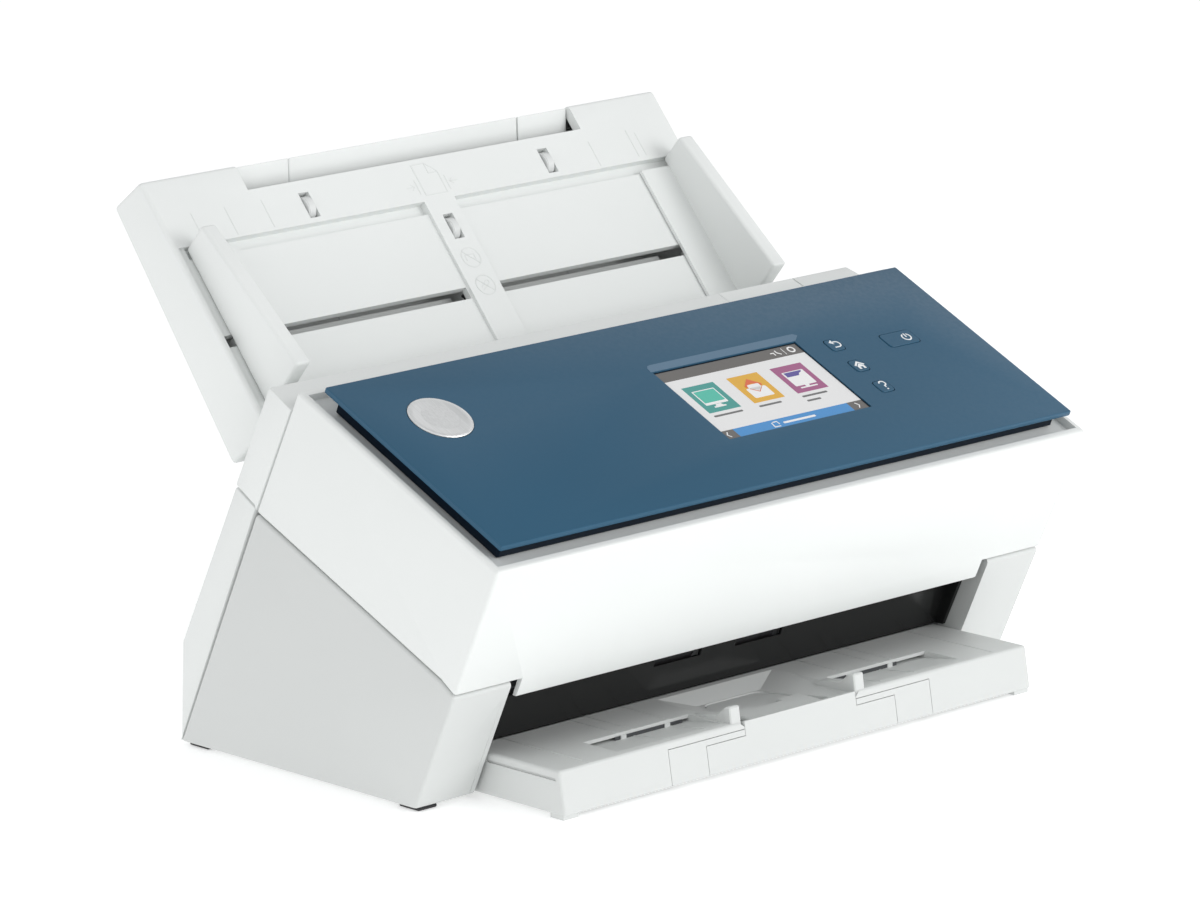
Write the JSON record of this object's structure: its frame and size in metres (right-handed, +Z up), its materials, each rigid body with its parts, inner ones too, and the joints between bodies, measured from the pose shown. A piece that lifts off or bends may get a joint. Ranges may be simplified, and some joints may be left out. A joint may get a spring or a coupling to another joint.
{
  "type": "sheet fed document scanner",
  "caption": "Wide desktop document scanner: forward-opening hatch with a sloping touch panel, slanted input tray with sliding paper guides, and a flat output tray with pull-out stop.",
  "frame": {"origin": "on the table surface, under the middle of the whole object's box", "axes": "+X from the scanner's left to its right, -Y towards the user at the front, +Z up"},
  "size_m": [0.3854, 0.3006, 0.2654],
  "materials": {
    "white_shell": "satin, fine even grain",
    "white_tray": "satin, slightly worn on the paper surface",
    "panel_blue": "satin steel blue",
    "navy_gloss": "gloss dark navy",
    "black_gloss": "gloss black",
    "dark_plastic": "matt dark grey",
    "screen": "smooth touch panel with a lit picture",
    "steel": "brushed or zinc-plated",
    "badge_metal": "satin silver",
    "rubber": "matt",
    "circuit_green": "solder-resist green",
    "scan_glass": "clear flat glass"
  },
  "bodies": {
    "base": {"base_shell": "white_shell", "rear_cover": "white_shell", "foot_front_left": "rubber", "foot_front_right": "rubber", "foot_rear_left": "rubber", "foot_rear_right": "rubber", "left_side_frame": "steel", "right_side_frame": "steel", "chassis_plate": "steel", "main_board": "circuit_green", "rear_sockets": "black_gloss", "lower_guide": "dark_plastic", "lower_scan_bar": "dark_plastic", "lower_scan_glass": "scan_glass", "exit_chute": "black_gloss", "output_tray": "white_tray", "feed_motor": "dark_plastic", "drive_belt": "rubber", "hinge_pin_left": "steel", "hinge_pin_right": "steel"},
    "output_stage_1": {"output_extension_1": "white_tray"},
    "output_stage_2": {"output_extension_2": "white_tray"},
    "output_stop_flap": {"output_stop": "white_tray"},
    "pickup_feed": {"pickup_shaft": "steel", "pickup_roller": "rubber"},
    "drive_feed": {"drive_shaft": "steel", "drive_roller": "rubber"},
    "exit_feed": {"exit_shaft": "steel", "exit_roller": "rubber"},
    "motor": {"motor_pulley": "steel"},
    "hatch": {"hatch_cover": "white_shell", "hatch_rear_cover": "white_shell", "control_panel": "panel_blue", "panel_base": "navy_gloss", "display_module": "screen", "round_badge": "badge_metal", "control_board": "circuit_green", "upper_guide": "dark_plastic", "upper_scan_bar": "dark_plastic", "upper_scan_glass": "scan_glass", "hatch_hinge_left": "steel", "hatch_hinge_right": "steel"},
    "latch": {"hatch_latch": "white_shell"},
    "separation": {"separation_roller": "rubber"},
    "drive_pinch": {"drive_pinch_roller": "rubber"},
    "exit_pinch": {"exit_pinch_roller": "rubber"},
    "back_key": {"back_button": "panel_blue"},
    "home_key": {"home_button": "panel_blue"},
    "help_key": {"help_button": "panel_blue"},
    "power_key": {"power_button": "panel_blue"},
    "sheet_tray": {"input_tray": "white_tray", "input_tray_back": "white_tray"},
    "guide_left": {"left_guide": "white_tray"},
    "guide_right": {"right_guide": "white_tray"},
    "pinion": {"guide_pinion": "dark_plastic"},
    "input_stage_1": {"input_extension_1": "white_tray"},
    "input_stage_2": {"input_extension_2": "white_tray"},
    "wheel_left": {"tray_wheel_left": "white_tray"},
    "wheel_right": {"tray_wheel_right": "white_tray"},
    "wheel_centre": {"tray_wheel_centre": "white_tray"}
  },
  "joints": [
    {"name": "hatch_open", "type": "hinge", "parent": "base", "child": "hatch", "pos_m": [0, -0.0995, 0.038], "axis": [1, 0, 0], "range_deg": [0, 58]},
    {"name": "latch_press", "type": "hinge", "parent": "hatch", "child": "latch", "pos_m": [0.12, 0.0115, 0.171], "axis": [1, 0, 0], "range_deg": [-4, 0], "stiffness_Nm_per_rad": 0.6, "springref_deg": 2.86},
    {"name": "tray_lift_off", "type": "slide", "parent": "base", "child": "sheet_tray", "axis": [0, 0.5915, 0.8063], "range_m": [0, 0.022]},
    {"name": "left_guide_slide", "type": "slide", "parent": "sheet_tray", "child": "guide_left", "axis": [1, 0, 0], "range_m": [0, 0.112]},
    {"name": "right_guide_slide", "type": "slide", "parent": "sheet_tray", "child": "guide_right", "axis": [-1, 0, 0], "range_m": [0, 0.112]},
    {"name": "guide_pinion_spin", "type": "hinge", "parent": "sheet_tray", "child": "pinion", "pos_m": [0, 0.07795, 0.1896], "axis": [0, -0.7672, 0.6414], "range_deg": [-895, 0]},
    {"name": "input_stage_1_pull", "type": "slide", "parent": "sheet_tray", "child": "input_stage_1", "axis": [0, 0.5915, 0.8063], "range_m": [0, 0.09]},
    {"name": "input_stage_2_pull", "type": "slide", "parent": "input_stage_1", "child": "input_stage_2", "axis": [0, 0.5915, 0.8063], "range_m": [0, 0.085]},
    {"name": "tray_wheel_left_spin", "type": "hinge", "parent": "sheet_tray", "child": "wheel_left", "pos_m": [-0.0781, 0.11335, 0.2416], "axis": [1, 0, 0], "continuous": true},
    {"name": "tray_wheel_right_spin", "type": "hinge", "parent": "sheet_tray", "child": "wheel_right", "pos_m": [0.0781, 0.11335, 0.2416], "axis": [1, 0, 0], "continuous": true},
    {"name": "tray_wheel_centre_spin", "type": "hinge", "parent": "sheet_tray", "child": "wheel_centre", "pos_m": [0, 0.09674, 0.22173], "axis": [1, 0, 0], "continuous": true},
    {"name": "output_stage_1_pull", "type": "slide", "parent": "base", "child": "output_stage_1", "axis": [0, -1, 0], "range_m": [0, 0.08]},
    {"name": "output_stage_2_pull", "type": "slide", "parent": "output_stage_1", "child": "output_stage_2", "axis": [0, -1, 0], "range_m": [0, 0.075]},
    {"name": "output_stop_flip", "type": "hinge", "parent": "output_stage_2", "child": "output_stop_flap", "pos_m": [0, -0.1426, 0.0193], "axis": [1, 0, 0], "range_deg": [0, 100]},
    {"name": "pickup_spin", "type": "hinge", "parent": "base", "child": "pickup_feed", "pos_m": [0, 0.02684, 0.11327], "axis": [1, 0, 0], "continuous": true},
    {"name": "drive_spin", "type": "hinge", "parent": "base", "child": "drive_feed", "pos_m": [0, 0.00113, 0.09778], "axis": [1, 0, 0], "continuous": true},
    {"name": "exit_spin", "type": "hinge", "parent": "base", "child": "exit_feed", "pos_m": [0, -0.0803, 0.04506], "axis": [1, 0, 0], "continuous": true},
    {"name": "motor_spin", "type": "hinge", "parent": "base", "child": "motor", "pos_m": [0.174, 0.02, 0.05], "axis": [1, 0, 0], "continuous": true},
    {"name": "separation_spin", "type": "hinge", "parent": "hatch", "child": "separation", "pos_m": [0, 0.01692, 0.12865], "axis": [1, 0, 0], "continuous": true},
    {"name": "drive_pinch_spin", "type": "hinge", "parent": "hatch", "child": "drive_pinch", "pos_m": [0, -0.00607, 0.10896], "axis": [1, 0, 0], "continuous": true},
    {"name": "exit_pinch_spin", "type": "hinge", "parent": "hatch", "child": "exit_pinch", "pos_m": [0, -0.0875, 0.05624], "axis": [1, 0, 0], "continuous": true},
    {"name": "back_press", "type": "slide", "parent": "hatch", "child": "back_key", "axis": [0, 0.421, -0.907], "range_m": [0, 0.0008], "stiffness_N_per_m": 400, "springref_m": -0.001},
    {"name": "home_press", "type": "slide", "parent": "hatch", "child": "home_key", "axis": [0, 0.421, -0.907], "range_m": [0, 0.0008], "stiffness_N_per_m": 400, "springref_m": -0.001},
    {"name": "help_press", "type": "slide", "parent": "hatch", "child": "help_key", "axis": [0, 0.421, -0.907], "range_m": [0, 0.0008], "stiffness_N_per_m": 400, "springref_m": -0.001},
    {"name": "power_press", "type": "slide", "parent": "hatch", "child": "power_key", "axis": [0, 0.421, -0.907], "range_m": [0, 0.0008], "stiffness_N_per_m": 400, "springref_m": -0.001}
  ],
  "couplings": [
    {"joint": "right_guide_slide", "follows": "left_guide_slide", "ratio": 1},
    {"joint": "guide_pinion_spin", "follows": "left_guide_slide", "rad_per_m": -138.89},
    {"joint": "pickup_spin", "follows": "drive_spin", "ratio": 1},
    {"joint": "exit_spin", "follows": "drive_spin", "ratio": 1},
    {"joint": "motor_spin", "follows": "drive_spin", "ratio": 1.4}
  ]
}
